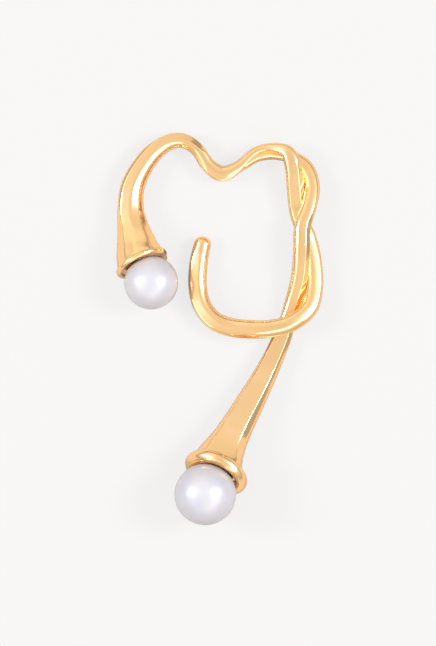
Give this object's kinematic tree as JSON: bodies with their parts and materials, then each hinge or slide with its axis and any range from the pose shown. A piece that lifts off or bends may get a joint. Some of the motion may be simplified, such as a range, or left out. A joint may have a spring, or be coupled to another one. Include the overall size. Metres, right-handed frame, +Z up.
{
  "type": "pearl ear cuff earring",
  "caption": "Wavy gold-plated ear cuff with an ear hook, an arch ending in a small pearl and a long twisted drop ending in a larger pearl.",
  "frame": {"origin": "centre of the footprint, on the surface that the ear cuff lies on", "axes": "+Z up from the surface it lies on, +Y from the lower pearl towards the arch, +X from the upper pearl towards the twisted strands"},
  "size_m": [0.0268, 0.051, 0.0097],
  "materials": {
    "gold": "polished gold-plated brass, mirror bright, cast in one piece",
    "pearl": "white nacre lustre with soft highlights and a faint lavender and pink overtone"
  },
  "bodies": {
    "root": {"gold_frame": "gold", "upper_pearl": "pearl", "lower_pearl": "pearl"}
  },
  "joints": []
}
